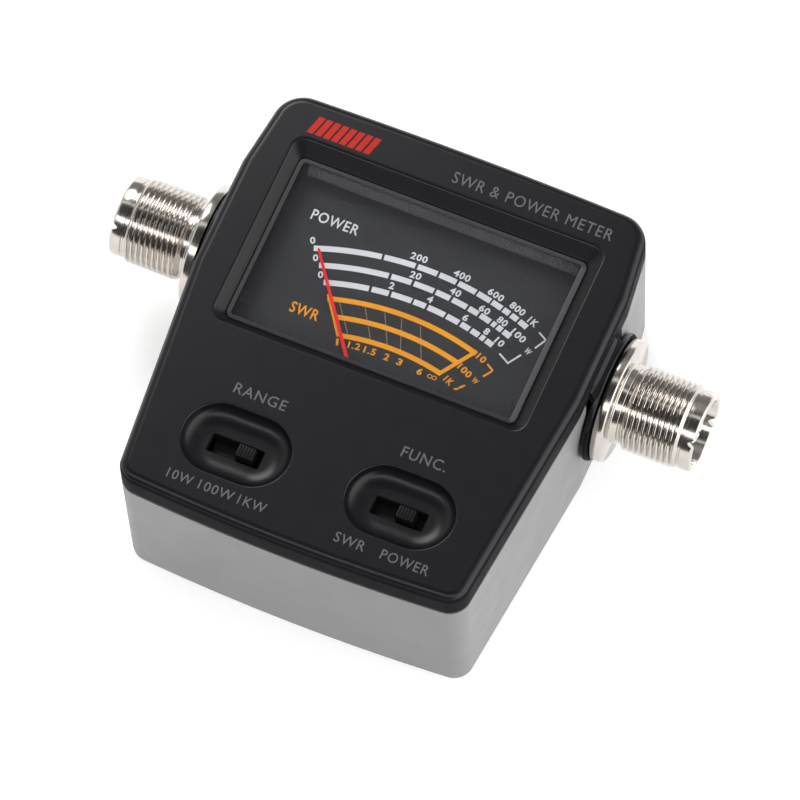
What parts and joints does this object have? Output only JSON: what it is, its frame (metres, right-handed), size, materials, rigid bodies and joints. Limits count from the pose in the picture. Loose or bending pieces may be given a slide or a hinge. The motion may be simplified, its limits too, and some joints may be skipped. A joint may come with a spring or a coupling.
{
  "type": "swr meter",
  "caption": "Compact SWR and RF power meter: black face with a pointer dial and two slide switches, grey case, and a threaded coaxial socket on each side.",
  "frame": {"origin": "under the middle of the bounding box, on the surface that the feet stand on", "axes": "+X along the line through both sockets, towards the right of the dial, +Y towards the top of the dial, +Z out of the face"},
  "size_m": [0.1124, 0.0826, 0.037],
  "materials": {
    "black_face": "satin, faintly grained",
    "grey_case": "satin, fine moulded texture",
    "rubber": "matte",
    "zinc_steel": "zinc plated",
    "nickel": "bright nickel plate",
    "silver": "silver plate",
    "brass": "satin",
    "phenolic": "moulded phenolic",
    "clear_cover": "clear moulded acrylic, polished",
    "dial": "printed matte charcoal",
    "pointer_red": "red lacquer",
    "copper": "enamelled copper",
    "iron": "plain",
    "board": "solder mask",
    "tin": "tin plate",
    "ferrite": "sintered",
    "switch_black": "satin",
    "trimmer_blue": "moulded",
    "diode_glass": "clear",
    "resistor": "matte",
    "sleeve": "shrunk sleeve"
  },
  "bodies": {
    "meter_body": {"board_screw_1": "zinc_steel", "board_screw_2": "zinc_steel", "board_screw_3": "zinc_steel", "board_screw_4": "zinc_steel", "capacitor": "sleeve", "case_screw_1": "zinc_steel", "case_screw_2": "zinc_steel", "case_screw_3": "zinc_steel", "case_screw_4": "zinc_steel", "core": "iron", "dial_plate": "dial", "dial_screw_1": "brass", "dial_screw_2": "brass", "diode_1": "diode_glass", "diode_2": "diode_glass", "foot_1": "rubber", "foot_2": "rubber", "foot_3": "rubber", "foot_4": "rubber", "front_bezel": "black_face", "func_switch_base": "phenolic", "func_switch_frame": "zinc_steel", "left_center_contact": "silver", "left_insulator": "phenolic", "left_socket_nut": "nickel", "left_socket_shell": "nickel", "line_conductor": "copper", "load_resistor": "resistor", "lower_bridge": "brass", "magnet_yoke": "iron", "main_board": "board", "meter_housing": "black_face", "meter_lead_1": "switch_black", "meter_lead_2": "pointer_red", "meter_lens": "clear_cover", "meter_screw_1": "zinc_steel", "meter_screw_2": "zinc_steel", "range_switch_base": "phenolic", "range_switch_frame": "zinc_steel", "rear_case": "grey_case", "right_center_contact": "silver", "right_insulator": "phenolic", "right_socket_nut": "nickel", "right_socket_shell": "nickel", "shield_box": "tin", "shield_lid": "tin", "transformer_core": "ferrite", "trimmer_1": "trimmer_blue", "trimmer_2": "trimmer_blue", "trimmer_3": "trimmer_blue", "upper_bridge": "brass"},
    "needle": {"pointer": "pointer_red", "moving_coil": "copper", "pivot_shaft": "zinc_steel", "hairspring": "brass"},
    "range_slider": {"range_knob": "switch_black"},
    "func_slider": {"func_knob": "switch_black"}
  },
  "joints": [
    {"name": "needle_swing", "type": "hinge", "parent": "meter_body", "child": "needle", "pos_m": [0, -0.0095, 0.033], "axis": [0, 0, -1], "range_deg": [0, 77], "stiffness_Nm_per_rad": 0.00001},
    {"name": "range_slide", "type": "slide", "parent": "meter_body", "child": "range_slider", "axis": [1, 0, 0], "range_m": [-0.0042, 0]},
    {"name": "func_slide", "type": "slide", "parent": "meter_body", "child": "func_slider", "axis": [1, 0, 0], "range_m": [-0.0028, 0]}
  ]
}
